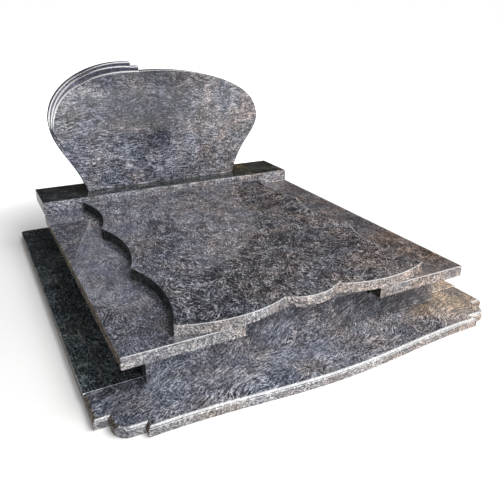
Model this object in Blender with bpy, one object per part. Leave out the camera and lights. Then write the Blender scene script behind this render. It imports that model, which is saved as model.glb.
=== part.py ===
"""A double grave monument of polished granite: a base frame, a box, two slabs and a headstone.

Metres, +Z up, +Y towards the headstone, origin on the ground under the middle of the base.
Left and right are those of someone who stands in front of it.
"""

import math

import bmesh
import bpy

# Clearance between stones that touch, and the distance within which two points are one
GAP = 0.0003
MERGE = 0.00006

# Base frame: four strips laid flat, the front one shaped
BASE_THICK = 0.045
BASE_OVERHANG = 0.130
# How far the strips reach in past the panels that stand on them
STRIP_LEDGE = 0.020
BACK_CORNER_ROUND = 0.025
BASE_EDGE_ROUND = 0.014
# Front outline: the steps forward from the lower slab's front, and in from the base's side
SIDE_REACH = 0.046
SIDE_LENGTH = 0.056
SHOULDER_STEP = 0.096
SHOULDER_LENGTH = 0.113
SHOULDER_ROUND = 0.062
BOW_STEP = 0.030
BOW_RISE = 0.045
BOW_FLAT = 0.070

# Box of upright panels
PANEL_THICK = 0.040
PANEL_HEIGHT = 0.146
PANEL_INSET = 0.110
FRONT_PANEL_INSET = 0.066

# Lower slab, with a notch in its front edge that the front panel's raised middle stands in
SLAB_WIDTH = 1.740
SLAB_DEPTH = 1.716
SLAB_THICK = 0.056
NOTCH_WIDTH = 0.697
NOTCH_SIDE_GAP = 0.022
NOTCH_BACK_GAP = 0.010

# Wavy cover slab: scallops cut into its sides, bows pushed out of its front
COVER_THICK = 0.050
COVER_WIDTH = 1.286
COVER_FRONT_INSET = 0.049
SCALLOP_LENGTH = 0.574
SCALLOP_DEPTH = 0.060
FRONT_BOW = 0.056
MIDDLE_BOW_WIDTH = 0.269
MIDDLE_BOW = 0.044

# Block that the headstone stands on
HEAD_BASE_DEPTH = 0.331
HEAD_BASE_HEIGHT = 0.075
HEAD_BASE_ROUND = 0.012

# Headstone, a little left of the middle: its foot, and how far its sides lean out past it
HEAD_THICK = 0.080
HEAD_OFFSET = -0.040
HEAD_FOOT_WIDTH = 1.047
HEAD_HEIGHT = 0.739
LEFT_LEAN = 0.187
LEFT_LEAN_HEIGHT = 0.455
RIGHT_LEAN = 0.203
RIGHT_LEAN_HEIGHT = 0.405
# Its two mouldings: where each starts on the left side, its rise, and its length from that side
INNER_BAND_FOOT = 0.335
INNER_BAND_RISE = 0.029
INNER_BAND_LENGTH = 0.592
OUTER_BAND_FOOT = 0.375
OUTER_BAND_RISE = 0.026
OUTER_BAND_LENGTH = 0.544
BAND_STEP = 0.012
# How far a cutter reaches past the stone, and how close it comes to an edge it leaves alone
CUT_MARGIN = 0.030
CUT_CLEAR = 0.001

# Points on each curve
ARC_STEPS = 16
ROUND_STEPS = 6
CURVE_STEPS = 20
EDGE_STEPS = 3

# How far a face's normal points along an axis when the face looks that way
FACING_SHARE = 0.5

GRANITE = (0.21, 0.22, 0.25, 1.0)
GRANITE_ROUGHNESS = 0.12

# Turns that stand an outline up: across and up, seen from the front, or along and up, seen from the side
LYING = (0.0, 0.0, 0.0)
FACING_FRONT = (math.pi / 2, 0.0, 0.0)
FACING_SIDE = (math.pi / 2, 0.0, math.pi / 2)

# Places worked out from the sizes above
base_side = SLAB_WIDTH / 2 + BASE_OVERHANG
shoulder_reach = SIDE_REACH + SHOULDER_STEP
bow_reach = shoulder_reach + BOW_STEP
base_back = (bow_reach + BOW_RISE + SLAB_DEPTH + HEAD_BASE_DEPTH) / 2
slab_side = SLAB_WIDTH / 2
slab_back = base_back - HEAD_BASE_DEPTH
slab_front = slab_back - SLAB_DEPTH
panel_side = slab_side - PANEL_INSET
panel_front_y = slab_front + FRONT_PANEL_INSET
panel_inner_y = panel_front_y + PANEL_THICK
panel_back_y = base_back - PANEL_INSET
strip_joint = panel_inner_y + STRIP_LEDGE
strip_inner_x = panel_side - PANEL_THICK - STRIP_LEDGE
strip_inner_y = panel_back_y - PANEL_THICK - STRIP_LEDGE
panel_bottom = BASE_THICK + GAP
panel_top = panel_bottom + PANEL_HEIGHT
slab_bottom = panel_top + GAP
slab_top = slab_bottom + SLAB_THICK
cover_bottom = slab_top + GAP
head_base_bottom = slab_top
head_panel_top = head_base_bottom - GAP
head_base_top = head_base_bottom + HEAD_BASE_HEIGHT
head_bottom = head_base_top + GAP
notch_depth = FRONT_PANEL_INSET + PANEL_THICK + NOTCH_BACK_GAP
head_middle_y = slab_back + HEAD_BASE_DEPTH / 2
head_front = head_middle_y - HEAD_THICK / 2
foot_left = HEAD_OFFSET - HEAD_FOOT_WIDTH / 2
foot_right = HEAD_OFFSET + HEAD_FOOT_WIDTH / 2
head_left = foot_left - LEFT_LEAN
head_right = foot_right + RIGHT_LEAN
inner_band_top = HEAD_HEIGHT + INNER_BAND_RISE
outer_band_top = inner_band_top + OUTER_BAND_RISE
inner_band_end = head_left + INNER_BAND_LENGTH
outer_band_end = head_left + OUTER_BAND_LENGTH


def clear_scene():
    for item in list(bpy.data.objects):
        bpy.data.objects.remove(item, do_unlink=True)


def collection(name):
    group = bpy.data.collections.new(name)
    bpy.context.scene.collection.children.link(group)
    return group


def granite(name):
    material = bpy.data.materials.new(name)
    material.use_nodes = True
    shader = material.node_tree.nodes["Principled BSDF"]
    shader.inputs["Base Color"].default_value = GRANITE
    shader.inputs["Roughness"].default_value = GRANITE_ROUGHNESS
    shader.inputs["Metallic"].default_value = 0.0
    material.diffuse_color = GRANITE
    return material


def mirrored(points):
    """The same points on the other side of the middle, in the opposite order."""
    return [(-x, y) for x, y in reversed(points)]


def arc(start, end, rise, steps=ARC_STEPS):
    """A circular arc from start to end that swells by rise to the right of the way, or to the left if negative."""
    across, along = end[0] - start[0], end[1] - start[1]
    length = math.hypot(across, along)
    radius = (length ** 2 / 4 + rise ** 2) / (2 * abs(rise))
    half = math.asin(length / 2 / radius)
    points = []
    for step in range(steps + 1):
        angle = half * (2 * step / steps - 1)
        forward = length / 2 + radius * math.sin(angle)
        aside = math.copysign(radius * (math.cos(angle) - math.cos(half)), rise)
        x = start[0] + (across * forward + along * aside) / length
        y = start[1] + (along * forward - across * aside) / length
        points.append((x, y))
    return points


def swell(start_x, start_y):
    """The bowed middle of the base's front: level at both ends, then a smooth wave out to the middle."""
    points = [(start_x, start_y)]
    half = -start_x - BOW_FLAT
    steps = 2 * ARC_STEPS
    for step in range(steps + 1):
        x = half * (2 * step / steps - 1)
        points.append((x, start_y - BOW_RISE * (1 + math.cos(math.pi * x / half)) / 2))
    return points + [(-start_x, start_y)]


def rounded_corner(centre, radius, first_angle, last_angle):
    """Points on a circle from the first angle to the last, in degrees."""
    points = []
    for step in range(ROUND_STEPS + 1):
        angle = math.radians(first_angle + (last_angle - first_angle) * step / ROUND_STEPS)
        points.append((centre[0] + radius * math.cos(angle), centre[1] + radius * math.sin(angle)))
    return points


def sweep(start, start_angle, start_pull, end, end_angle, end_pull):
    """A cubic curve that leaves start and reaches end at the given headings, in degrees.

    Each pull is a share of the straight way from start to end.
    """
    first, last = math.radians(start_angle), math.radians(end_angle)
    length = math.dist(start, end)
    ahead = (start[0] + start_pull * length * math.cos(first), start[1] + start_pull * length * math.sin(first))
    behind = (end[0] - end_pull * length * math.cos(last), end[1] - end_pull * length * math.sin(last))
    corners = (start, ahead, behind, end)
    points = []
    for step in range(CURVE_STEPS + 1):
        t = step / CURVE_STEPS
        weights = ((1 - t) ** 3, 3 * (1 - t) ** 2 * t, 3 * (1 - t) * t ** 2, t ** 3)
        points.append(tuple(sum(w * c[axis] for w, c in zip(weights, corners)) for axis in (0, 1)))
    return points


def without_repeats(points):
    """Drops each point that lies on the one before it."""
    kept = []
    for point in points:
        if not kept or math.dist(point, kept[-1]) > GAP:
            kept.append(point)
    if math.dist(kept[0], kept[-1]) <= GAP:
        kept.pop()
    return kept


def finish(name, bm, location, rotation, group):
    """Turns a bmesh into a named object with its own material."""
    mesh = bpy.data.meshes.new(name)
    bm.to_mesh(mesh)
    bm.free()
    mesh.materials.append(granite(name))
    thing = bpy.data.objects.new(name, mesh)
    thing.location = location
    thing.rotation_euler = rotation
    group.objects.link(thing)
    return thing


def block(name, low, high, group):
    """A box from its lowest corner to its highest."""
    bm = bmesh.new()
    bmesh.ops.create_cube(bm, size=1.0)
    bmesh.ops.scale(bm, verts=bm.verts, vec=[b - a for a, b in zip(low, high)])
    return finish(name, bm, [(a + b) / 2 for a, b in zip(low, high)], LYING, group)


def plate(name, outline, thickness, location, rotation, group):
    """A flat outline as a filled curve, as thick to both sides of its location, made into one closed mesh."""
    points = without_repeats(outline)
    curve = bpy.data.curves.new(name, "CURVE")
    curve.dimensions = "2D"
    curve.fill_mode = "BOTH"
    curve.extrude = thickness / 2
    spline = curve.splines.new("POLY")
    spline.points.add(len(points) - 1)
    for point, (x, y) in zip(spline.points, points):
        point.co = (x, y, 0.0, 1.0)
    spline.use_cyclic_u = True
    drawn = bpy.data.objects.new(name + "_outline", curve)
    group.objects.link(drawn)
    view = bpy.context.evaluated_depsgraph_get()
    filled = bpy.data.meshes.new_from_object(drawn.evaluated_get(view))
    bm = bmesh.new()
    bm.from_mesh(filled)
    bmesh.ops.remove_doubles(bm, verts=bm.verts, dist=MERGE)
    bmesh.ops.recalc_face_normals(bm, faces=bm.faces)
    for side in (-1, 1):
        cap = [face for face in bm.faces if face.normal.z * side > FACING_SHARE]
        bmesh.ops.dissolve_faces(bm, faces=cap)
    bpy.data.objects.remove(drawn)
    bpy.data.meshes.remove(filled)
    return finish(name, bm, location, rotation, group)


def round_edges(thing, radius, wanted, steps=EDGE_STEPS):
    """Rounds the edges for which wanted(first end, second end) is true, in the object's own space."""
    bm = bmesh.new()
    bm.from_mesh(thing.data)
    edges = [edge for edge in bm.edges if wanted(edge.verts[0].co, edge.verts[1].co)]
    bmesh.ops.bevel(bm, geom=edges, offset=radius, segments=steps, profile=0.5, affect="EDGES",
                    clamp_overlap=True)
    bmesh.ops.remove_doubles(bm, verts=bm.verts, dist=MERGE)
    bmesh.ops.dissolve_degenerate(bm, dist=MERGE, edges=bm.edges)
    bm.to_mesh(thing.data)
    bm.free()


def base_front_outline():
    """The front strip from above, from its left joint corner round to the right one."""
    side_y = slab_front - SIDE_REACH
    shoulder_y = slab_front - shoulder_reach
    step_x = SIDE_LENGTH - base_side
    shoulder_end = step_x + SHOULDER_LENGTH
    turn = min(SHOULDER_ROUND, SHOULDER_STEP, SHOULDER_LENGTH)
    left = [(-base_side, strip_joint - GAP / 2), (-base_side, side_y), (step_x, side_y)]
    left += rounded_corner((step_x + turn, shoulder_y + turn), turn, 180, 270)
    left += [(shoulder_end, shoulder_y)]
    return left + swell(shoulder_end, slab_front - bow_reach) + mirrored(left)


def make_base(group):
    front = plate("base_front", base_front_outline(), BASE_THICK, (0.0, 0.0, BASE_THICK / 2), LYING, group)

    def on_front_top(first, second):
        return min(first.z, second.z) > 0 and min(first.y, second.y) < strip_joint - GAP

    round_edges(front, BASE_EDGE_ROUND, on_front_top)
    joint = strip_joint + GAP / 2
    right = block("base_right", (strip_inner_x, joint, 0.0), (base_side, base_back, BASE_THICK), group)
    left = block("base_left", (-base_side, joint, 0.0), (-strip_inner_x, base_back, BASE_THICK), group)

    def on_back_right(first, second):
        return min(first.x, second.x, first.y, second.y) > 0

    def on_back_left(first, second):
        return max(first.x, second.x) < 0 < min(first.y, second.y)

    round_edges(right, BACK_CORNER_ROUND, on_back_right, ROUND_STEPS)
    round_edges(left, BACK_CORNER_ROUND, on_back_left, ROUND_STEPS)
    end = strip_inner_x - GAP
    block("base_back", (-end, strip_inner_y, 0.0), (end, base_back, BASE_THICK), group)


def make_panels(group):
    rise = NOTCH_WIDTH / 2 - NOTCH_SIDE_GAP
    right = [(panel_side, panel_bottom), (panel_side, panel_top), (rise, panel_top), (rise, slab_top)]
    front_middle = (0.0, panel_front_y + PANEL_THICK / 2, 0.0)
    plate("panel_front", mirrored(right) + right, PANEL_THICK, front_middle, FACING_FRONT, group)
    start = panel_inner_y + GAP
    head = slab_back + GAP
    side = [(start, panel_bottom), (panel_back_y, panel_bottom), (panel_back_y, head_panel_top),
            (head, head_panel_top), (head, panel_top), (start, panel_top)]
    middle = panel_side - PANEL_THICK / 2
    plate("panel_right", side, PANEL_THICK, (middle, 0.0, 0.0), FACING_SIDE, group)
    plate("panel_left", side, PANEL_THICK, (-middle, 0.0, 0.0), FACING_SIDE, group)
    end = panel_side - PANEL_THICK - GAP
    block("panel_back", (-end, panel_back_y - PANEL_THICK, panel_bottom), (end, panel_back_y, head_panel_top),
          group)


def make_lower_slab(group):
    notch = NOTCH_WIDTH / 2
    right = [(notch, slab_front + notch_depth), (notch, slab_front), (slab_side, slab_front),
             (slab_side, slab_back)]
    middle = (0.0, 0.0, slab_bottom + SLAB_THICK / 2)
    plate("lower_slab", right + mirrored(right), SLAB_THICK, middle, LYING, group)


def cover_outline():
    """The wavy slab from above: scalloped sides and a bowed front, square at the back."""
    side = COVER_WIDTH / 2
    front = slab_front + COVER_FRONT_INSET
    back = slab_back - GAP
    cusps = [front, front + SCALLOP_LENGTH, front + 2 * SCALLOP_LENGTH, back]
    right = []
    for near, far in zip(cusps, cusps[1:]):
        right += arc((side, near), (side, far), -SCALLOP_DEPTH)
    middle = MIDDLE_BOW_WIDTH / 2
    bows = arc((-side, front), (-middle, front), FRONT_BOW)
    bows += arc((-middle, front), (middle, front), MIDDLE_BOW)
    bows += arc((middle, front), (side, front), FRONT_BOW)
    return bows + right + mirrored(right)


def make_cover(group):
    middle = (0.0, 0.0, cover_bottom + COVER_THICK / 2)
    plate("cover_slab", cover_outline(), COVER_THICK, middle, LYING, group)


def make_headstone_base(group):
    low = (-slab_side, slab_back, head_base_bottom)
    stone = block("headstone_base", low, (slab_side, base_back, head_base_top), group)

    def on_front_top(first, second):
        return min(first.z, second.z) > 0 > max(first.y, second.y)

    round_edges(stone, HEAD_BASE_ROUND, on_front_top)


def left_side():
    """The headstone's left side, from its foot up to where it is widest."""
    return sweep((foot_left, 0.0), 104, 0.358, (head_left, LEFT_LEAN_HEIGHT), 90, 0.350)


def headstone_outline():
    """The headstone from the front, from its left foot up over the shoulder and down to the right one."""
    shoulder = sweep((head_left, LEFT_LEAN_HEIGHT), 90, 0.326, (outer_band_end, outer_band_top), -5, 0.440)
    ends = [(outer_band_end, inner_band_top), (inner_band_end, inner_band_top)]
    widest = (head_right, RIGHT_LEAN_HEIGHT)
    top = sweep((inner_band_end, HEAD_HEIGHT), 4, 0.332, widest, -90, 0.295)
    right = sweep(widest, -90, 0.267, (foot_right, 0.0), -104.5, 0.528)
    return left_side() + shoulder + ends + top + right


def band_start(height):
    """The place just outside the headstone's left side, at a height below where it is widest."""
    side = left_side()
    for (low_x, low), (high_x, high) in zip(side, side[1:]):
        if low <= height <= high:
            x = low_x + (high_x - low_x) * (height - low) / (high - low)
            return x - CUT_CLEAR, height
    return head_left - CUT_CLEAR, height


def cut_band(stone, name, edge, depth, group):
    """Sets back what lies outside the edge curve by a depth from the stone's face."""
    far_left = head_left - CUT_MARGIN
    far_up = outer_band_top + CUT_MARGIN
    end_x = edge[-1][0] + CUT_CLEAR
    outline = [(far_left, edge[0][1])] + edge + [(end_x, edge[-1][1]), (end_x, far_up), (far_left, far_up)]
    thickness = depth + CUT_MARGIN
    middle = (0.0, head_front + depth - thickness / 2, head_bottom)
    cutter = plate(name, outline, thickness, middle, FACING_FRONT, group)
    cutter.hide_render = True
    cutter.display_type = "WIRE"
    cut = stone.modifiers.new(name, "BOOLEAN")
    cut.object = cutter
    cut.operation = "DIFFERENCE"
    cut.solver = "EXACT"


def make_headstone(group, cutters):
    middle = (0.0, head_middle_y, head_bottom)
    stone = plate("headstone", headstone_outline(), HEAD_THICK, middle, FACING_FRONT, group)
    inner = sweep(band_start(INNER_BAND_FOOT), 100, 0.468, (inner_band_end, HEAD_HEIGHT + CUT_CLEAR), -4, 0.423)
    outer = sweep(band_start(OUTER_BAND_FOOT), 95.5, 0.390, (outer_band_end, inner_band_top + CUT_CLEAR), -5,
                  0.486)
    cut_band(stone, "inner_band_cutter", inner, BAND_STEP, cutters)
    cut_band(stone, "outer_band_cutter", outer, 2 * BAND_STEP, cutters)


def main():
    clear_scene()
    parts = collection("double_grave_monument")
    cutters = collection("cutters")
    make_base(parts)
    make_panels(parts)
    make_lower_slab(parts)
    make_cover(parts)
    make_headstone_base(parts)
    make_headstone(parts, cutters)


main()
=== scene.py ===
import math

import bmesh
import bpy
from mathutils import Matrix, Vector


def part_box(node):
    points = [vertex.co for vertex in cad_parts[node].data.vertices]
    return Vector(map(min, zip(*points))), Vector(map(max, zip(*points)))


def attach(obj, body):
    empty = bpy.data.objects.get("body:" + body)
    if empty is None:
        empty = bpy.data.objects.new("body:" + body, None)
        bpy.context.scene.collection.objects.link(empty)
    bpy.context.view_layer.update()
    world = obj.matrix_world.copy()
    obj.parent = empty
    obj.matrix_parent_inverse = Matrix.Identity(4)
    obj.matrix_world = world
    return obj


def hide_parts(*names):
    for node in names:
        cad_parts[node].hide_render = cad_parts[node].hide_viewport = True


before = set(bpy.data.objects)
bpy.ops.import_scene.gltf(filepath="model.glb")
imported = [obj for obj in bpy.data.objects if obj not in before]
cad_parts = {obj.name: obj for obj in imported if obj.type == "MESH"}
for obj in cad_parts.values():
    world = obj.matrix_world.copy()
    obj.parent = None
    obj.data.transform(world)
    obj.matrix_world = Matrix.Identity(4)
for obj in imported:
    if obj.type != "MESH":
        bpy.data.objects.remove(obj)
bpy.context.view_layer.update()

# Camera: its place from the lower slab's front left top corner in slab widths, and its heading in degrees
CAMERA_PLACE = (-0.2048, -0.9669, 0.6654)
CAMERA_YAW = 27.90
CAMERA_PITCH = 23.61
CAMERA_ROLL = 0.36
CAMERA_LENS = 39.08
CAMERA_SENSOR = 36.0
CAMERA_REACH = 200.0

# Points on each curve: more than the solids have, at places that include theirs
ARC_STEPS = 48
ROUND_STEPS = 12
CURVE_STEPS = 60

# Distance within which two points are one, and the gap between two stones
MERGE = 0.00005
GAP = 0.0003

# Front outline of the base: the steps forward from the lower slab's front, and in from the base's side
SIDE_REACH = 0.046
SIDE_LENGTH = 0.056
SHOULDER_REACH = 0.142
SHOULDER_LENGTH = 0.113
SHOULDER_ROUND = 0.062
BOW_REACH = 0.172
BOW_RISE = 0.045
BOW_FLAT = 0.070
BACK_CORNER_ROUND = 0.025

# Raised middle of the front panel, and the notch that it stands in
NOTCH_WIDTH = 0.697
NOTCH_SIDE_GAP = 0.022
NOTCH_DEPTH = 0.116

# Cover slab
COVER_FRONT_INSET = 0.049
SCALLOP_LENGTH = 0.574
SCALLOP_DEPTH = 0.060
FRONT_BOW = 0.056
MIDDLE_BOW_WIDTH = 0.269
MIDDLE_BOW = 0.044

# Headstone: its foot, the heights where its sides are widest, and its two stepped mouldings
HEAD_OFFSET = -0.040
HEAD_FOOT_WIDTH = 1.047
HEAD_HEIGHT = 0.739
LEFT_LEAN = 0.187
LEFT_LEAN_HEIGHT = 0.455
RIGHT_LEAN = 0.203
RIGHT_LEAN_HEIGHT = 0.405
INNER_BAND_FOOT = 0.335
INNER_BAND_RISE = 0.029
INNER_BAND_LENGTH = 0.592
OUTER_BAND_FOOT = 0.375
OUTER_BAND_RISE = 0.026
OUTER_BAND_LENGTH = 0.544
BAND_STEP = 0.012
CUT_MARGIN = 0.030
CUT_CLEAR = 0.001

# Headings in degrees and pulls of the headstone's curves, at the start and at the end of each
LEFT_CURVE = (104, 0.358, 90, 0.350)
SHOULDER_CURVE = (90, 0.326, -5, 0.440)
TOP_CURVE = (4, 0.332, -90, 0.295)
RIGHT_CURVE = (-90, 0.267, -104.5, 0.528)
INNER_CURVE = (100, 0.468, -4, 0.423)
OUTER_CURVE = (95.5, 0.390, -5, 0.486)

# Rounded arrises: how far each sort of edge is cut back, in how many steps, and what counts as an edge
ARRIS = 0.0030
FOOT_ARRIS = 0.0015
PANEL_ARRIS = 0.0015
HEAD_BASE_ARRIS = 0.002
WORN_ARRIS = 0.009
BASE_EDGE_ROUND = 0.017
HEAD_BASE_ROUND = 0.012
BAND_ROUND = 0.0075
FOOT_STEPS = 2
ARRIS_STEPS = 3
BAND_STEPS = 4
EDGE_STEPS = 5
SHARP_ANGLE = math.radians(24)
SMOOTH_ANGLE = math.radians(35)
FLAT_ANGLE = math.radians(0.05)

# The mouldings' edges grow from sharp to fully rounded over this height, and inner corners get only a share
BAND_EASE = 0.080
INNER_CORNER_SHARE = 0.12

# An edge belongs to the mouldings this far behind the headstone's face, and from this far below their foot
MOULDING_REACH = 2.5 * BAND_STEP
MOULDING_DROP = 2 * BAND_EASE

foot_left = HEAD_OFFSET - HEAD_FOOT_WIDTH / 2
foot_right = HEAD_OFFSET + HEAD_FOOT_WIDTH / 2
head_left = foot_left - LEFT_LEAN
head_right = foot_right + RIGHT_LEAN
inner_band_top = HEAD_HEIGHT + INNER_BAND_RISE
outer_band_top = inner_band_top + OUTER_BAND_RISE
inner_band_end = head_left + INNER_BAND_LENGTH
outer_band_end = head_left + OUTER_BAND_LENGTH


def make_camera():
    low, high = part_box("lower_slab")
    width = high.x - low.x
    yaw, pitch, roll = (math.radians(a) for a in (CAMERA_YAW, CAMERA_PITCH, CAMERA_ROLL))
    ahead = Vector((math.sin(yaw) * math.cos(pitch), math.cos(yaw) * math.cos(pitch), -math.sin(pitch)))
    level = Vector((math.cos(yaw), -math.sin(yaw), 0.0))
    up = level.cross(ahead)
    right = level * math.cos(roll) + up * math.sin(roll)
    above = up * math.cos(roll) - level * math.sin(roll)
    data = bpy.data.cameras.new("camera")
    data.lens = CAMERA_LENS
    data.sensor_width = CAMERA_SENSOR
    data.clip_end = CAMERA_REACH
    camera = bpy.data.objects.new("camera", data)
    bpy.context.scene.collection.objects.link(camera)
    turn = Matrix((right, above, -ahead)).transposed()
    place = Vector((low.x, low.y, high.z)) + width * Vector(CAMERA_PLACE)
    camera.matrix_world = Matrix.Translation(place) @ turn.to_4x4()
    bpy.context.scene.camera = camera


class Nodes:
    """Short calls for building a material's nodes."""

    def __init__(self, tree):
        self.tree = tree

    def add(self, kind, **values):
        node = self.tree.nodes.new(kind)
        for key, value in values.items():
            setattr(node, key, value)
        return node

    def link(self, output, socket):
        self.tree.links.new(output, socket)

    def put(self, socket, value):
        if isinstance(value, bpy.types.NodeSocket):
            self.link(value, socket)
        else:
            socket.default_value = value

    def math(self, operation, first, second=0.0, third=0.0, clamp=False):
        node = self.add("ShaderNodeMath", operation=operation, use_clamp=clamp)
        for socket, value in zip(node.inputs, (first, second, third)):
            self.put(socket, value)
        return node.outputs[0]

    def vector(self, operation, first, second=None, scale=None):
        node = self.add("ShaderNodeVectorMath", operation=operation)
        self.put(node.inputs[0], first)
        if second is not None:
            self.put(node.inputs[1], second)
        if scale is not None:
            self.put(node.inputs["Scale"], scale)
        return node.outputs["Value" if operation in ("DOT_PRODUCT", "DISTANCE", "LENGTH") else "Vector"]

    def noise(self, vector, scale, detail, roughness):
        node = self.add("ShaderNodeTexNoise")
        self.link(vector, node.inputs["Vector"])
        node.inputs["Scale"].default_value = scale
        node.inputs["Detail"].default_value = detail
        node.inputs["Roughness"].default_value = roughness
        return node

    def place(self, vector, turn, size):
        """The vector seen in a frame turned by turn, in degrees, with units of size along each axis."""
        node = self.add("ShaderNodeMapping", vector_type="TEXTURE")
        self.link(vector, node.inputs["Vector"])
        node.inputs["Rotation"].default_value = [math.radians(a) for a in turn]
        node.inputs["Scale"].default_value = size
        return node.outputs["Vector"]

    def between(self, value, low, high, to_low=0.0, to_high=1.0):
        node = self.add("ShaderNodeMapRange", interpolation_type="SMOOTHSTEP")
        self.put(node.inputs["Value"], value)
        for key, number in zip(("From Min", "From Max", "To Min", "To Max"), (low, high, to_low, to_high)):
            node.inputs[key].default_value = number
        return node.outputs["Result"]

    def ramp(self, factor, stops):
        node = self.add("ShaderNodeValToRGB")
        self.link(factor, node.inputs["Fac"])
        elements = node.color_ramp.elements
        while len(elements) < len(stops):
            elements.new(0.5)
        for element, (place, colour) in zip(elements, stops):
            element.position = place
            element.color = (*colour, 1.0)
        return node.outputs["Color"]

    def mix(self, factor, first, second, blend="MIX"):
        node = self.add("ShaderNodeMix", data_type="RGBA", blend_type=blend)
        self.put(node.inputs["Factor"], factor)
        self.put(node.inputs[6], first)
        self.put(node.inputs[7], second)
        return node.outputs[2]


# Finishes: how strongly the stone mirrors, its tint, and how light, how patterned and how rough it is. Many
# tints are painted light and shade, which make a stone's top, front and sides lighter or darker copies of one
# stone.
FACE = dict(ior=1.7, tint=(1.03, 1.03, 1.10))
# Painted dark reflection: slab tops are made darker than the stone's faces, in place of the dark surroundings
# that they mirror.
DARKENED_TOP = dict(ior=3.4, tint=(0.82, 0.80, 0.84), contrast=0.75)
# Painted shade for the base's left strip, which lies under the slab's overhang, and painted light for its
# right strip: two copies of one stone.
SHADED = dict(ior=1.7, tint=(0.50, 0.58, 0.56), lift=-0.04)
PAINTED_LIGHT = dict(ior=1.9, tint=(1.25, 1.18, 1.12), lift=0.06)
# Painted shade on the top of the headstone's base, beside the headstone.
SHADED_TOP = dict(ior=1.9, tint=(0.34, 0.37, 0.33), lift=-0.05)
# Front edges: partly a paler, honed stone, partly painted light from the front.
EDGE = dict(ior=1.5, tint=(1.08, 1.00, 0.95), lift=0.05, contrast=0.80, veins=0.0)
# Painted shade on side faces, with a warm brown cast.
SHADED_SIDE = dict(ior=1.15, tint=(0.90, 0.66, 0.46), lift=-0.02, polish=0.2)
ROUND = dict(ior=8.0, tint=(1.10, 1.08, 1.06), lift=0.02, contrast=0.7, polish=0.20)
BASE_ROUND = dict(ior=6.0, tint=(1.15, 1.13, 1.11), lift=0.04, contrast=0.9, polish=0.24)
DULL = dict(ior=1.3, tint=(1.10, 1.10, 1.12), lift=0.03, polish=0.30)
# Painted highlight: a near-white line along the arris at the base's joint.
JOINT_HIGHLIGHT = dict(ior=1.5, tint=(5.20, 5.20, 5.10), lift=0.05, contrast=0.4, polish=0.3)
# Painted shade on the panels' sides, in the recess under the slab.
SHADED_PANEL_SIDE = dict(ior=1.3, tint=(0.22, 0.28, 0.27), lift=-0.04)
# Painted shade on the cover's sides and on the sides of the lower slab's notch.
SHADED_COVER_SIDE = dict(ior=1.05, tint=(0.30, 0.33, 0.29), lift=-0.02, polish=0.3)
HEAD_BASE_EDGE = dict(FACE, lift=0.06)
# Painted shade on the sides of the headstone's base.
SHADED_HEAD_BASE_SIDE = dict(SHADED_SIDE, tint=(0.30, 0.23, 0.16))
SLAB_TOP = dict(DARKENED_TOP, lift=0.03, contrast=0.66)
COVER_TOP = dict(DARKENED_TOP, contrast=1.05)
HEAD_FACE = dict(ior=1.4, tint=(1.05, 1.05, 1.12), contrast=0.78)
# Painted shade on the flat steps of the headstone's mouldings.
SHADED_HEAD_BAND = dict(ior=1.4, tint=(0.28, 0.29, 0.42))
# Painted shade on the headstone's sides and top.
SHADED_HEAD_SIDE = dict(ior=1.02, tint=(0.36, 0.38, 0.46), polish=0.3)
HEAD_ROUND = dict(ior=14.0, tint=(0.80, 0.80, 0.90), contrast=0.7, polish=0.18)
HEAD_BACK = dict(ior=1.4, tint=(0.92, 0.92, 0.96), polish=0.20)

# Length and width of the strands in metres, along the way that they are laid and across it
GRAIN = (0.115, 0.0102, 0.0102)

# Painted shade: the middle of a soft patch, its radius and what it adds, at the base's left end and on the
# panel under the slab
CORNER_SHADE = ((-0.98, -0.92, 0.10), 0.45, -0.05)
PANEL_SHADES = (((0.0, -0.87, 0.30), 0.36, -0.15), ((0.45, -0.87, 0.22), 0.42, -0.24))

# Stains and painted reflections: the middle of a soft patch, its radius and its tint. The warm patches at the
# right side and the headstone's darker patches are painted reflections.
# Painted brown reflections at the right side: on the base's front, its right strip, the panel's right end and
# the lower slab.
BROWN_REFLECTION = ((0.84, -0.84, 0.10), 0.27, (1.16, 0.84, 0.48))
TAN = ((0.90, -0.70, 0.10), 0.24, (1.06, 0.97, 0.82))
PANEL_TAN = ((0.86, -0.87, 0.20), 0.14, (1.20, 0.92, 0.60))
SLAB_TAN = ((0.95, -0.62, 0.25), 0.40, (1.24, 1.06, 0.90))
GOLD = ((0.60, 1.0, 0.50), 0.28, (3.0, 1.8, 0.65))
# Painted reflections: a darker zone in the headstone's upper middle, and milder ones at its left and lower
# middle.
HEAD_SHADES = (
    ((-0.10, 0.93, 0.95), 0.55, (0.40, 0.41, 0.44)),
    ((-0.68, 0.93, 0.80), 0.28, (0.88, 0.87, 0.86)),
    ((-0.05, 0.93, 0.55), 0.45, (0.88, 0.90, 0.94)),
)

# The granite's noises, from its broad folds down to its finest grain: scale per metre, detail and roughness
FOLD_NOISE = (2.8, 1.0, 0.5)
CLOUD_NOISE = (5.5, 2.0, 0.55)
HUE_NOISE = (6.5, 1.0, 0.5)
CURL_NOISE = (9.0, 1.0, 0.5)
PATCH_NOISE = (15.0, 1.0, 0.5)
VEIN_NOISE = (17.0, 2.0, 0.5)
SPECK_NOISE = (95.0, 1.0, 0.6)
FINE_NOISE = (210.0, 0.0, 0.5)
STRAND_NOISE = (1.0, 1.0, 0.4)
NOISE_MEAN = 0.5

# How sharply a strand or a vein stands out from its noise, and how strong and how far apart the layers are
STRAND_SHARPNESS = 12.0
VEIN_SHARPNESS = 26.0
VEIN_CREST = 0.75
LAYER_SHARES = (1.0, 0.8)
LAYER_SHIFT = (0.37, 0.71, 0.53)

# What each part of the pattern adds to the lightness, and the lightness that contrast turns about
GROUND = 0.145
PATCH_EDGE = (0.30, 0.66)
STRAND_STRENGTH = (0.35, 0.61)
VEIN_MEAN = 0.2
CLOUD_SHARE = 0.26
SPECK_SHARE = 0.74
FINE_SHARE = 0.50
MEAN_VALUE = 0.33
SHOWN_VALUE = 0.35

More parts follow.
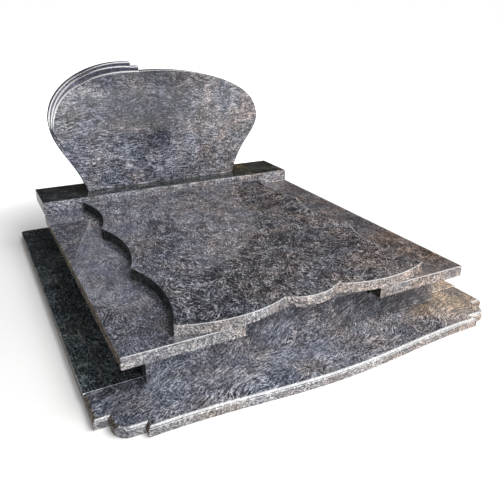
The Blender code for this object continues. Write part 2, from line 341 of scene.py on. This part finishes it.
# Ragged outlines of clouds and stains, the share of a radius that is full, and how the patches bend
RAGGED = 0.4
FULL_SHARE = 0.3
PATCH_BEND = 0.12

# The tint drifts from cool at the left to warm at the right
HUE_DRIFT = 0.22
CASTS = ((0.22, (0.90, 0.98, 1.08)), (0.50, (1.0, 1.0, 1.0)), (0.82, (1.13, 0.98, 0.86)))

# Colours of the stone from its darkest to its lightest mineral
MINERALS = (
    (0.0, (0.004, 0.0045, 0.006)),
    (0.16, (0.026, 0.027, 0.033)),
    (0.38, (0.100, 0.102, 0.112)),
    (0.60, (0.340, 0.335, 0.342)),
    (0.88, (0.720, 0.705, 0.695)),
)

ROUGHNESS_SPREAD = 0.06
BUMP_STRENGTH = 0.05
BUMP_DEPTH = 0.0004

# Places of the finishes in a stone's list of materials
AS_FACE, AS_EDGE, AS_SIDE, AS_ROUND, AS_OTHER = range(5)

# Which way a face looks, by a part of its normal: square to its axis, slanted, or past the limit of a side
FLAT = 0.99
SLANTED = 0.25
LEFT_LIMIT = -0.35
FRONT_LIMIT = -0.4
JOINT_LIMIT = -0.2
NOTCH_LIMIT = 0.5

# Floor: pale and dull. Its glow rises from a distance to a distance, from a strength to a strength.
FLOOR_SIZE = 160.0
FLOOR_COLOUR = (0.70, 0.70, 0.70, 1.0)
FLOOR_ROUGHNESS = 0.95
FLOOR_GLOW = (1.3, 3.5, 0.06, 1.0)

# Lamps: the name, the place, what it looks at, its size, its power and its colour
LAMPS = (
    ("key", (2.6, -3.3, 5.8), (0.0, -0.2, 0.2), (5.5, 2.2), 420.0, (1.0, 0.99, 0.97)),
    ("fill", (1.0, -7.0, 1.6), (0.0, 0.0, 0.4), (4.0, 2.0), 260.0, (1.0, 0.97, 0.93)),
    ("left", (-3.2, -4.7, 4.0), (-0.4, 0.6, 0.7), (2.4, 2.0), 130.0, (1.0, 1.0, 1.0)),
    ("back", (1.5, 6.5, 1.3), (0.0, 0.5, 0.4), (4.0, 2.0), 220.0, (1.0, 1.0, 1.0)),
)

# Bright areas of the sky. The first two are round: the way to the middle, and where the edge begins and ends.
# The others have straight edges, across and upwards. The first lights the stones, and the polish mirrors
# the others in place of it.
SKY_WAY = (0.55, -0.22, 0.805)
SKY_EDGE = (0.80, 0.93)
SKY_COLOUR = (2.30, 2.32, 2.38, 1.0)
SHINE_WAY = (0.46, -0.28, 0.84)
SHINE_EDGE = (0.78, 0.88)
SHINE_COLOUR = (1.50, 1.50, 1.54, 1.0)
GLEAM_EDGE = (-0.28, -0.42)
GLEAM_FOOT = (-0.04, 0.02)
GLEAM_COLOUR = (1.0, 1.0, 1.05, 1.0)
LOW_EDGE = (0.20, 0.12)
LOW_COLOUR = (1.6, 1.6, 1.6, 1.0)
PANE_EDGE = (0.60, 0.66)
PANE_FOOT = (0.40, 0.45)
PANE_COLOUR = (0.95, 0.90, 0.84, 1.0)
DARK = (0.012, 0.010, 0.008, 1.0)
WHITE = (1.0, 1.0, 1.0, 1.0)


def granite(name, axis="Z", ways=(85, 118), shift=(0.0, 0.0, 0.0), grain=GRAIN, fold=0.30, curl=0.06,
            ior=1.9, tint=(1.0, 1.0, 1.0), lift=0.0, contrast=0.8, polish=0.02, veins=0.10,
            clouds=(), stains=()):
    """Grey granite with fine light strands, laid mostly along the given ways about one axis, and curled.

    Each painted shade is a soft patch that is made lighter or darker: its middle, its radius and what it
    adds.
    Each stain or painted reflection is a soft patch of another tint: its middle, its radius and its tint.
    """
    material = bpy.data.materials.new(name)
    material.use_nodes = True
    n = Nodes(material.node_tree)
    shader = material.node_tree.nodes["Principled BSDF"]
    here = n.add("ShaderNodeTexCoord").outputs["Object"]
    base = n.vector("ADD", here, shift)
    centre = (NOISE_MEAN, NOISE_MEAN, NOISE_MEAN)
    folds = n.vector("SUBTRACT", n.noise(base, *FOLD_NOISE).outputs["Color"], centre)
    curls = n.vector("SUBTRACT", n.noise(base, *CURL_NOISE).outputs["Color"], centre)
    flow = n.vector("ADD", base, n.vector("SCALE", folds, scale=fold))
    flow = n.vector("ADD", flow, n.vector("SCALE", curls, scale=curl))
    strands = None
    for way, share in zip(ways, LAYER_SHARES):
        turn = [way if letter == axis else 0 for letter in "XYZ"]
        drawn = n.place(flow, turn, grain)
        wave = n.noise(drawn, *STRAND_NOISE).outputs["Fac"]
        crest = n.math("ABSOLUTE", n.math("SUBTRACT", wave, NOISE_MEAN))
        strand = n.math("SUBTRACT", share, n.math("MULTIPLY", crest, STRAND_SHARPNESS), clamp=True)
        strands = strand if strands is None else n.math("MAXIMUM", strands, strand)
        flow = n.vector("ADD", flow, LAYER_SHIFT)
    vein = n.noise(flow, *VEIN_NOISE).outputs["Fac"]
    vein = n.math("ABSOLUTE", n.math("SUBTRACT", vein, NOISE_MEAN))
    vein = n.math("SUBTRACT", VEIN_CREST, n.math("MULTIPLY", vein, VEIN_SHARPNESS), clamp=True)
    cloud = n.noise(base, *CLOUD_NOISE).outputs["Fac"]
    bent = n.vector("ADD", base, n.vector("SCALE", curls, scale=PATCH_BEND))
    patch = n.noise(bent, *PATCH_NOISE).outputs["Fac"]
    speck = n.noise(base, *SPECK_NOISE).outputs["Fac"]
    fine = n.noise(base, *FINE_NOISE).outputs["Fac"]
    strength = n.between(patch, *PATCH_EDGE, *STRAND_STRENGTH)
    value = n.math("MULTIPLY_ADD", strands, strength, GROUND)
    for part, mean, share in ((vein, VEIN_MEAN, veins), (cloud, NOISE_MEAN, CLOUD_SHARE),
                              (speck, NOISE_MEAN, SPECK_SHARE), (fine, NOISE_MEAN, FINE_SHARE)):
        value = n.math("MULTIPLY_ADD", n.math("SUBTRACT", part, mean), share, value)
    ragged = n.vector("ADD", here, n.vector("SCALE", folds, scale=RAGGED))
    for middle, radius, add in clouds:
        away = n.vector("DISTANCE", ragged, middle)
        value = n.math("ADD", value, n.between(away, FULL_SHARE * radius, radius, add, 0.0))
    value = n.math("MULTIPLY_ADD", n.math("SUBTRACT", value, MEAN_VALUE), contrast, SHOWN_VALUE + lift)
    stone = n.ramp(value, MINERALS)
    parts = n.add("ShaderNodeSeparateXYZ")
    n.link(here, parts.inputs[0])
    hue = n.noise(base, *HUE_NOISE).outputs["Fac"]
    hue = n.math("MULTIPLY_ADD", parts.outputs["X"], HUE_DRIFT, hue)
    stone = n.mix(1.0, stone, n.ramp(hue, CASTS), "MULTIPLY")
    stone = n.mix(1.0, stone, (*tint, 1.0), "MULTIPLY")
    for middle, radius, colour in stains:
        away = n.vector("DISTANCE", ragged, middle)
        retinted = n.mix(1.0, stone, (*colour, 1.0), "MULTIPLY")
        stone = n.mix(n.between(away, FULL_SHARE * radius, radius, 1.0, 0.0), stone, retinted)
    n.link(stone, shader.inputs["Base Color"])
    n.link(n.math("MULTIPLY_ADD", speck, ROUGHNESS_SPREAD, polish), shader.inputs["Roughness"])
    shader.inputs["IOR"].default_value = ior
    bump = n.add("ShaderNodeBump")
    bump.inputs["Strength"].default_value = BUMP_STRENGTH
    bump.inputs["Distance"].default_value = BUMP_DEPTH
    n.link(fine, bump.inputs["Height"])
    n.link(bump.outputs["Normal"], shader.inputs["Normal"])
    return material


def finished(node, face=FACE, edge=EDGE, side=SHADED_SIDE, rounded=ROUND, other=None, **look):
    """The materials of one stone: face, front edge, side edge, rounded edge, and another if it has one."""
    finishes = {"face": face, "edge": edge, "side": side, "round": rounded}
    if other:
        finishes["other"] = other
    return [granite(node + "_" + part, **(look | finish)) for part, finish in finishes.items()]


def lying_finish(normal, middle):
    """Which material a face of a stone that lies flat takes, by its normal and its middle."""
    if normal.z > FLAT:
        return AS_FACE
    if normal.z > SLANTED and normal.x > LEFT_LIMIT:
        return AS_ROUND
    return AS_EDGE if normal.y < FRONT_LIMIT else AS_SIDE


def jointed_finish(normal, middle):
    """The same for a stone with a joint at its front: its front arrises are set apart, to take a painted
    highlight.
    """
    jointed = normal.y < JOINT_LIMIT and SLANTED < normal.z < FLAT
    return AS_OTHER if jointed else lying_finish(normal, middle)


def notched_finish(normal, middle):
    """The same for a stone with a notch in its front: the sides of the notch are set apart, to take painted
    shade.
    """
    inside = abs(middle.x) < NOTCH_WIDTH / 2 + ARRIS and abs(normal.x) > NOTCH_LIMIT
    return AS_OTHER if inside else lying_finish(normal, middle)


def standing_finish(normal, middle):
    """Which material a face of an upright stone takes. Its back takes the place of the edge."""
    if normal.y > -SLANTED:
        return AS_EDGE if normal.y > FLAT else AS_SIDE
    return AS_FACE if normal.y < -FLAT else AS_ROUND


def carved_finish(normal, middle):
    """The same for the headstone: the flat steps of its mouldings are set apart, to take painted shade."""
    stepped = normal.y < -FLAT and middle.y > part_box("headstone")[0].y + BAND_STEP / 2
    return AS_OTHER if stepped else standing_finish(normal, middle)


def mirrored(points):
    """The same points on the other side of the middle, in the opposite order."""
    return [(-x, y) for x, y in reversed(points)]


def arc(start, end, rise):
    """A circular arc that swells by rise to the right of the way, or to its left if rise is negative."""
    across, along = end[0] - start[0], end[1] - start[1]
    length = math.hypot(across, along)
    radius = (length ** 2 / 4 + rise ** 2) / (2 * abs(rise))
    half = math.asin(length / 2 / radius)
    points = []
    for step in range(ARC_STEPS + 1):
        angle = half * (2 * step / ARC_STEPS - 1)
        forward = length / 2 + radius * math.sin(angle)
        aside = math.copysign(radius * (math.cos(angle) - math.cos(half)), rise)
        x = start[0] + (across * forward + along * aside) / length
        y = start[1] + (along * forward - across * aside) / length
        points.append((x, y))
    return points


def swell(start_x, start_y):
    """The bowed middle of the base's front: level at both ends, then a smooth wave out to the middle."""
    half = -start_x - BOW_FLAT
    points = [(start_x, start_y)]
    steps = 2 * ARC_STEPS
    for step in range(steps + 1):
        x = half * (2 * step / steps - 1)
        points.append((x, start_y - BOW_RISE * (1 + math.cos(math.pi * x / half)) / 2))
    return points + [(-start_x, start_y)]


def rounded_corner(centre, radius, first_angle, last_angle):
    points = []
    for step in range(ROUND_STEPS + 1):
        angle = math.radians(first_angle + (last_angle - first_angle) * step / ROUND_STEPS)
        points.append((centre[0] + radius * math.cos(angle), centre[1] + radius * math.sin(angle)))
    return points


def moved(point, heading, length):
    """The point that lies at a length from another, at a heading in degrees."""
    angle = math.radians(heading)
    return point[0] + length * math.cos(angle), point[1] + length * math.sin(angle)


def sweep(start, end, curve):
    """A cubic curve between two headings in degrees, each pull a share of the straight way."""
    first_heading, first_pull, last_heading, last_pull = curve
    length = math.dist(start, end)
    ahead = moved(start, first_heading, first_pull * length)
    behind = moved(end, last_heading, -last_pull * length)
    corners = (start, ahead, behind, end)
    points = []
    for step in range(CURVE_STEPS + 1):
        t = step / CURVE_STEPS
        weights = ((1 - t) ** 3, 3 * (1 - t) ** 2 * t, 3 * (1 - t) * t ** 2, t ** 3)
        points.append(tuple(sum(w * c[axis] for w, c in zip(weights, corners)) for axis in (0, 1)))
    return points


def without_repeats(points):
    kept = []
    for point in points:
        if not kept or math.dist(point, kept[-1]) > GAP:
            kept.append(point)
    if math.dist(kept[0], kept[-1]) <= GAP:
        kept.pop()
    return kept


def lying(low, high):
    """Puts an outline seen from above between two heights."""
    return lambda point, end: (point[0], point[1], high if end else low)


def facing_front(back, front, foot):
    """Puts an outline seen from the front between a back and a front, on a foot."""
    return lambda point, end: (point[0], front if end else back, foot + point[1])


def facing_side(low, high):
    """Puts an outline of along and up between two places across."""
    return lambda point, end: (high if end else low, point[0], point[1])


def prism(outline, put):
    """A closed mesh between two copies of an outline."""
    points = without_repeats(outline)
    bm = bmesh.new()
    rings = [[bm.verts.new(put(point, end)) for point in points] for end in (0, 1)]
    for ring in rings:
        bm.faces.new(ring)
    count = len(points)
    for step in range(count):
        after = (step + 1) % count
        bm.faces.new((rings[0][step], rings[0][after], rings[1][after], rings[1][step]))
    bmesh.ops.recalc_face_normals(bm, faces=bm.faces)
    return bm


def box_outline(low, high):
    return [(low.x, low.y), (high.x, low.y), (high.x, high.y), (low.x, high.y)]


def is_arris(edge):
    return len(edge.link_faces) == 2 and edge.calc_face_angle() > SHARP_ANGLE


def cut_back(bm, edges, radius, steps=ARRIS_STEPS):
    bmesh.ops.bevel(bm, geom=edges, offset=radius, segments=steps, profile=0.5, affect="EDGES",
                    clamp_overlap=False)
    bmesh.ops.remove_doubles(bm, verts=bm.verts, dist=MERGE)


def eased(bm, radius=ARRIS):
    """The same mesh with all its arrises rounded."""
    cut_back(bm, [edge for edge in bm.edges if is_arris(edge)], radius)
    return bm


def shade(mesh):
    """Smooth shading that leaves broad faces flat: faces that meet softly share normals by their areas."""
    mesh.shade_smooth()
    mesh.set_sharp_from_angle(angle=SMOOTH_ANGLE)
    around = [[] for _ in mesh.vertices]
    for face in mesh.polygons:
        for vert in face.vertices:
            around[vert].append(face)
    soft = math.cos(SMOOTH_ANGLE)
    normals = []
    for face in mesh.polygons:
        for vert in face.vertices:
            near = [other for other in around[vert] if other.normal.dot(face.normal) > soft]
            normals.append(sum((other.normal * other.area for other in near), Vector()).normalized())
    mesh.normals_split_custom_set(normals)


def put_in_order(bm):
    """Sorts points, edges and faces by place: bevels leave them in an order that varies between runs."""
    for rank, vert in enumerate(sorted(bm.verts, key=lambda vert: tuple(vert.co))):
        vert.index = rank
    bm.verts.sort()
    for parts in (bm.edges, bm.faces):
        for rank, part in enumerate(sorted(parts, key=lambda part: sorted(v.index for v in part.verts))):
            part.index = rank
        parts.sort()


def show(node, bm, choose, **look):
    """Shows a finished mesh in place of the CAD node, held inside the node's own box."""
    low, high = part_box(node)
    for vert in bm.verts:
        vert.co = [min(max(place, a), b) for place, a, b in zip(vert.co, low, high)]
    put_in_order(bm)
    name = "stone_" + node
    mesh = bpy.data.meshes.new(name)
    bm.to_mesh(mesh)
    bm.free()
    for material in finished(node, **look):
        mesh.materials.append(material)
    for face in mesh.polygons:
        face.material_index = choose(face.normal, face.center)
    shade(mesh)
    stone = bpy.data.objects.new(name, mesh)
    bpy.context.scene.collection.objects.link(stone)
    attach(stone, "root")
    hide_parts(node)


def make_base():
    slab_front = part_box("lower_slab")[0].y
    low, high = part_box("base_front")
    step_x = low.x + SIDE_LENGTH
    shoulder_y = slab_front - SHOULDER_REACH
    left = [(low.x, high.y), (low.x, slab_front - SIDE_REACH), (step_x, slab_front - SIDE_REACH)]
    left += rounded_corner((step_x + SHOULDER_ROUND, shoulder_y + SHOULDER_ROUND), SHOULDER_ROUND, 180, 270)
    left += [(step_x + SHOULDER_LENGTH, shoulder_y)]
    outline = left + swell(step_x + SHOULDER_LENGTH, slab_front - BOW_REACH) + mirrored(left)
    front = prism(outline, lying(low.z, high.z))
    top = [e for e in front.edges if is_arris(e) and min(v.co.z for v in e.verts) > high.z - MERGE
           and min(v.co.y for v in e.verts) < high.y - MERGE]
    cut_back(front, top, BASE_EDGE_ROUND, EDGE_STEPS)
    foot = [e for e in front.edges if is_arris(e) and max(v.co.z for v in e.verts) < low.z + MERGE]
    cut_back(front, foot, FOOT_ARRIS, FOOT_STEPS)
    show("base_front", front, lying_finish, rounded=BASE_ROUND, ways=(26, 40), shift=(3.3, 0.1, 0.0),
         fold=0.20, curl=0.045, grain=(0.170, 0.0078, 0.0078),
         clouds=[CORNER_SHADE], stains=[BROWN_REFLECTION])
    # The left strip takes painted shade and the right strip painted light.
    strips = (("base_left", (1.7, 0.4, 0.2), SHADED), ("base_right", (2.9, 1.4, 0.5), PAINTED_LIGHT))
    for node, shift, face in strips:
        low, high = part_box(node)
        turn = BACK_CORNER_ROUND
        if low.x < 0:
            corner = rounded_corner((low.x + turn, high.y - turn), turn, 90, 180)
            outline = [(low.x, low.y), (high.x, low.y), (high.x, high.y)] + corner
        else:
            corner = rounded_corner((high.x - turn, high.y - turn), turn, 0, 90)
            outline = [(low.x, low.y), (high.x, low.y)] + corner + [(low.x, high.y)]
        show(node, eased(prism(outline, lying(low.z, high.z))), jointed_finish, face=face, other=JOINT_HIGHLIGHT,
             shift=shift, stains=[TAN])
    low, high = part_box("base_back")
    show("base_back", eased(prism(box_outline(low, high), lying(low.z, high.z))), lying_finish,
         shift=(3.9, 2.4, 0.1))


def make_panels():
    low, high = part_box("panel_front")
    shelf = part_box("lower_slab")[0].z - GAP
    rise = NOTCH_WIDTH / 2 - NOTCH_SIDE_GAP
    right = [(high.x, low.z), (high.x, shelf), (rise, shelf), (rise, high.z)]
    front = prism(mirrored(right) + right, facing_front(high.y, low.y, 0.0))
    show("panel_front", eased(front, PANEL_ARRIS), standing_finish, side=SHADED_PANEL_SIDE, axis="Y",
         ways=(-32, -58), shift=(5.1, 0.7, 0.9), fold=0.28, curl=0.055, grain=(0.140, 0.0080, 0.0080),
         clouds=PANEL_SHADES, stains=[PANEL_TAN])
    slab_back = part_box("lower_slab")[1].y
    for node, shift in (("panel_left", (6.1, 0.7, 0.3)), ("panel_right", (7.3, 0.1, 0.3))):
        low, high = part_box(node)
        side = [(low.y, low.z), (high.y, low.z), (high.y, high.z), (slab_back + GAP, high.z),
                (slab_back + GAP, shelf), (low.y, shelf)]
        panel = prism(side, facing_side(low.x, high.x))
        show(node, eased(panel, PANEL_ARRIS), standing_finish, side=SHADED_PANEL_SIDE, axis="X", shift=shift)
    low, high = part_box("panel_back")
    panel = prism(box_outline(low, high), lying(low.z, high.z))
    show("panel_back", eased(panel, PANEL_ARRIS), standing_finish, side=SHADED_PANEL_SIDE, axis="Y",
         shift=(8.3, 0.1, 0.8))


def make_slabs():
    low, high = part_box("lower_slab")
    notch = NOTCH_WIDTH / 2
    right = [(notch, low.y + NOTCH_DEPTH), (notch, low.y), (high.x, low.y), (high.x, high.y)]
    slab = prism(right + mirrored(right), lying(low.z, high.z))
    show("lower_slab", eased(slab), notched_finish, face=SLAB_TOP, other=SHADED_COVER_SIDE,
         shift=(9.3, 3.1, 0.8), stains=[SLAB_TAN])
    slab_front = low.y
    low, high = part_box("cover_slab")
    front = slab_front + COVER_FRONT_INSET
    cusps = [front, front + SCALLOP_LENGTH, front + 2 * SCALLOP_LENGTH, high.y]
    right = []
    for near, far in zip(cusps, cusps[1:]):
        right += arc((high.x, near), (high.x, far), -SCALLOP_DEPTH)
    middle = MIDDLE_BOW_WIDTH / 2
    bows = arc((low.x, front), (-middle, front), FRONT_BOW)
    bows += arc((-middle, front), (middle, front), MIDDLE_BOW)
    bows += arc((middle, front), (high.x, front), FRONT_BOW)
    cover = prism(bows + right + mirrored(right), lying(low.z, high.z))
    worn = [e for e in cover.edges if is_arris(e) and min(v.co.z for v in e.verts) > high.z - MERGE
            and min(v.co.y for v in e.verts) > front + MERGE and min(v.co.x for v in e.verts) > 0]
    cut_back(cover, worn, WORN_ARRIS)
    show("cover_slab", eased(cover), lying_finish,
         face=COVER_TOP, side=SHADED_COVER_SIDE, shift=(2.9, 1.3, 4.7), ways=(75, 120),
         fold=0.32, curl=0.13, veins=0.36, grain=(0.150, 0.0105, 0.0105))


def left_side():
    """The headstone's left side, from its foot up to where it is widest."""
    return sweep((foot_left, 0.0), (head_left, LEFT_LEAN_HEIGHT), LEFT_CURVE)


def band_start(height):
    """The place just outside the headstone's left side, at a height below where it is widest."""
    side = left_side()
    for (low_x, low), (high_x, high) in zip(side, side[1:]):
        if low <= height <= high:
            x = low_x + (high_x - low_x) * (height - low) / (high - low)
            return x - CUT_CLEAR, height
    return head_left - CUT_CLEAR, height


def plain(bm, name):
    """An object of its own for a mesh that is still being worked."""
    mesh = bpy.data.meshes.new(name)
    bm.to_mesh(mesh)
    bm.free()
    thing = bpy.data.objects.new(name, mesh)
    bpy.context.scene.collection.objects.link(thing)
    return thing


def worked(thing):
    """The object's mesh after its modifiers, as a new bmesh."""
    view = bpy.context.evaluated_depsgraph_get()
    mesh = bpy.data.meshes.new_from_object(thing.evaluated_get(view))
    bm = bmesh.new()
    bm.from_mesh(mesh)
    bmesh.ops.remove_doubles(bm, verts=bm.verts, dist=MERGE)
    return bm


def make_headstone_base():
    low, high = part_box("headstone_base")
    block = prism(box_outline(low, high), lying(low.z, high.z))
    top = [e for e in block.edges if min(v.co.z for v in e.verts) > high.z - MERGE
           and max(v.co.y for v in e.verts) < low.y + MERGE]
    cut_back(block, top, HEAD_BASE_ROUND, EDGE_STEPS)
    show("headstone_base", eased(block, HEAD_BASE_ARRIS), lying_finish, face=SHADED_TOP, edge=HEAD_BASE_EDGE,
         side=SHADED_HEAD_BASE_SIDE, rounded=DULL, axis="Y", ways=(0, 25), shift=(2.3, 7.7, 1.1), stains=[GOLD])


def make_headstone():
    low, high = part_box("headstone")
    shoulder = sweep((head_left, LEFT_LEAN_HEIGHT), (outer_band_end, outer_band_top), SHOULDER_CURVE)
    ends = [(outer_band_end, inner_band_top), (inner_band_end, inner_band_top)]
    widest = (head_right, RIGHT_LEAN_HEIGHT)
    top = sweep((inner_band_end, HEAD_HEIGHT), widest, TOP_CURVE)
    right = sweep(widest, (foot_right, 0.0), RIGHT_CURVE)
    outline = left_side() + shoulder + ends + top + right
    stone = plain(prism(outline, facing_front(high.y, low.y, low.z)), "headstone_blank")
    inner = sweep(band_start(INNER_BAND_FOOT), (inner_band_end, HEAD_HEIGHT + CUT_CLEAR), INNER_CURVE)
    outer = sweep(band_start(OUTER_BAND_FOOT), (outer_band_end, inner_band_top + CUT_CLEAR), OUTER_CURVE)
    far_left = head_left - CUT_MARGIN
    far_up = outer_band_top + CUT_MARGIN
    cutters = []
    for edge, depth in ((inner, BAND_STEP), (outer, 2 * BAND_STEP)):
        end_x = edge[-1][0] + CUT_CLEAR
        beyond = [(end_x, edge[-1][1]), (end_x, far_up), (far_left, far_up)]
        shape = [(far_left, edge[0][1])] + edge + beyond
        cutter = plain(prism(shape, facing_front(low.y + depth, low.y - CUT_MARGIN, low.z)), "band_cutter")
        cutters.append(cutter)
        cut = stone.modifiers.new("band", "BOOLEAN")
        cut.object = cutter
        cut.operation = "DIFFERENCE"
        cut.solver = "EXACT"
    bm = worked(stone)
    for thing in cutters + [stone]:
        bpy.data.objects.remove(thing, do_unlink=True)
    bmesh.ops.dissolve_limit(bm, angle_limit=FLAT_ANGLE, verts=bm.verts, edges=bm.edges)
    weights = bm.edges.layers.float.new("bevel_weight_edge")
    moulding_back = low.y + MOULDING_REACH
    for edge in bm.edges:
        if not is_arris(edge):
            continue
        middle = (edge.verts[0].co + edge.verts[1].co) / 2
        rise = middle.z - low.z - OUTER_BAND_FOOT
        edge[weights] = ARRIS / BAND_ROUND
        if middle.y < moulding_back and middle.x < inner_band_end + MERGE and rise > -MOULDING_DROP:
            ease = min(1.0, max(0.0, (rise - BAND_EASE / 2) / BAND_EASE))
            edge[weights] = ease if edge.is_convex else INNER_CORNER_SHARE * ease
    thing = plain(bm, "headstone_carved")
    bevel = thing.modifiers.new("arrises", "BEVEL")
    bevel.limit_method = "WEIGHT"
    bevel.width = BAND_ROUND
    bevel.segments = BAND_STEPS
    bevel.use_clamp_overlap = False
    bm = worked(thing)
    bpy.data.objects.remove(thing, do_unlink=True)
    show("headstone", bm, carved_finish, face=HEAD_FACE, edge=HEAD_BACK, side=SHADED_HEAD_SIDE, other=SHADED_HEAD_BAND,
         rounded=HEAD_ROUND, axis="Y", ways=(-3, 18), shift=(4.1, 8.3, 2.6), fold=0.10,
         curl=0.026, veins=0.05, grain=(0.120, 0.0080, 0.0080), stains=HEAD_SHADES)


def make_floor():
    bpy.ops.mesh.primitive_plane_add(size=FLOOR_SIZE, location=(0.0, 0.0, 0.0))
    floor = bpy.context.object
    floor.name = "floor"
    material = bpy.data.materials.new("floor")
    material.use_nodes = True
    shader = material.node_tree.nodes["Principled BSDF"]
    shader.inputs["Base Color"].default_value = FLOOR_COLOUR
    shader.inputs["Roughness"].default_value = FLOOR_ROUGHNESS
    shader.inputs["Specular IOR Level"].default_value = 0.0
    shader.inputs["Emission Color"].default_value = WHITE
    n = Nodes(material.node_tree)
    away = n.vector("LENGTH", n.add("ShaderNodeTexCoord").outputs["Object"])
    n.link(n.between(away, *FLOOR_GLOW), shader.inputs["Emission Strength"])
    floor.data.materials.append(material)


def make_lamp(name, place, target, size, power, colour):
    """A lamp that looks at its target, and that neither the camera nor the polish sees."""
    data = bpy.data.lights.new(name, "AREA")
    data.shape = "RECTANGLE"
    data.size, data.size_y = size
    data.energy = power
    data.color = colour
    light = bpy.data.objects.new(name, data)
    bpy.context.scene.collection.objects.link(light)
    light.location = place
    way = Vector(target) - light.location
    light.rotation_euler = way.to_track_quat("-Z", "Y").to_euler()
    light.visible_camera = False
    light.visible_glossy = False


def make_sky():
    """A sky that lights the stones from one area, shows others in the polish, and is plain white behind."""
    world = bpy.data.worlds.new("studio")
    world.use_nodes = True
    bpy.context.scene.world = world
    n = Nodes(world.node_tree)
    back = world.node_tree.nodes["Background"]
    way = n.add("ShaderNodeTexCoord").outputs["Generated"]
    parts = n.add("ShaderNodeSeparateXYZ")
    n.link(way, parts.inputs[0])
    across, up = parts.outputs["X"], parts.outputs["Z"]
    path = n.add("ShaderNodeLightPath").outputs
    sky = n.between(n.vector("DOT_PRODUCT", way, SKY_WAY), *SKY_EDGE)
    shine = n.between(n.vector("DOT_PRODUCT", way, SHINE_WAY), *SHINE_EDGE)
    gleam = n.math("MULTIPLY", n.between(across, *GLEAM_EDGE), n.between(up, *GLEAM_FOOT))
    pane = n.math("MULTIPLY", n.between(across, *PANE_EDGE), n.between(up, *PANE_FOOT))
    bright = n.mix(pane, DARK, PANE_COLOUR)
    bright = n.mix(n.between(up, *LOW_EDGE), bright, LOW_COLOUR)
    bright = n.mix(gleam, bright, GLEAM_COLOUR)
    bright = n.mix(shine, bright, SHINE_COLOUR)
    glow = n.mix(path["Is Glossy Ray"], n.mix(sky, DARK, SKY_COLOUR), bright)
    n.link(n.mix(path["Is Camera Ray"], glow, WHITE), back.inputs["Color"])
    back.inputs["Strength"].default_value = 1.0


make_camera()
make_base()
make_panels()
make_slabs()
make_headstone_base()
make_headstone()
make_floor()
for row in LAMPS:
    make_lamp(*row)
make_sky()
bpy.context.scene.view_settings.view_transform = "Standard"
bpy.context.scene.view_settings.look = "None"
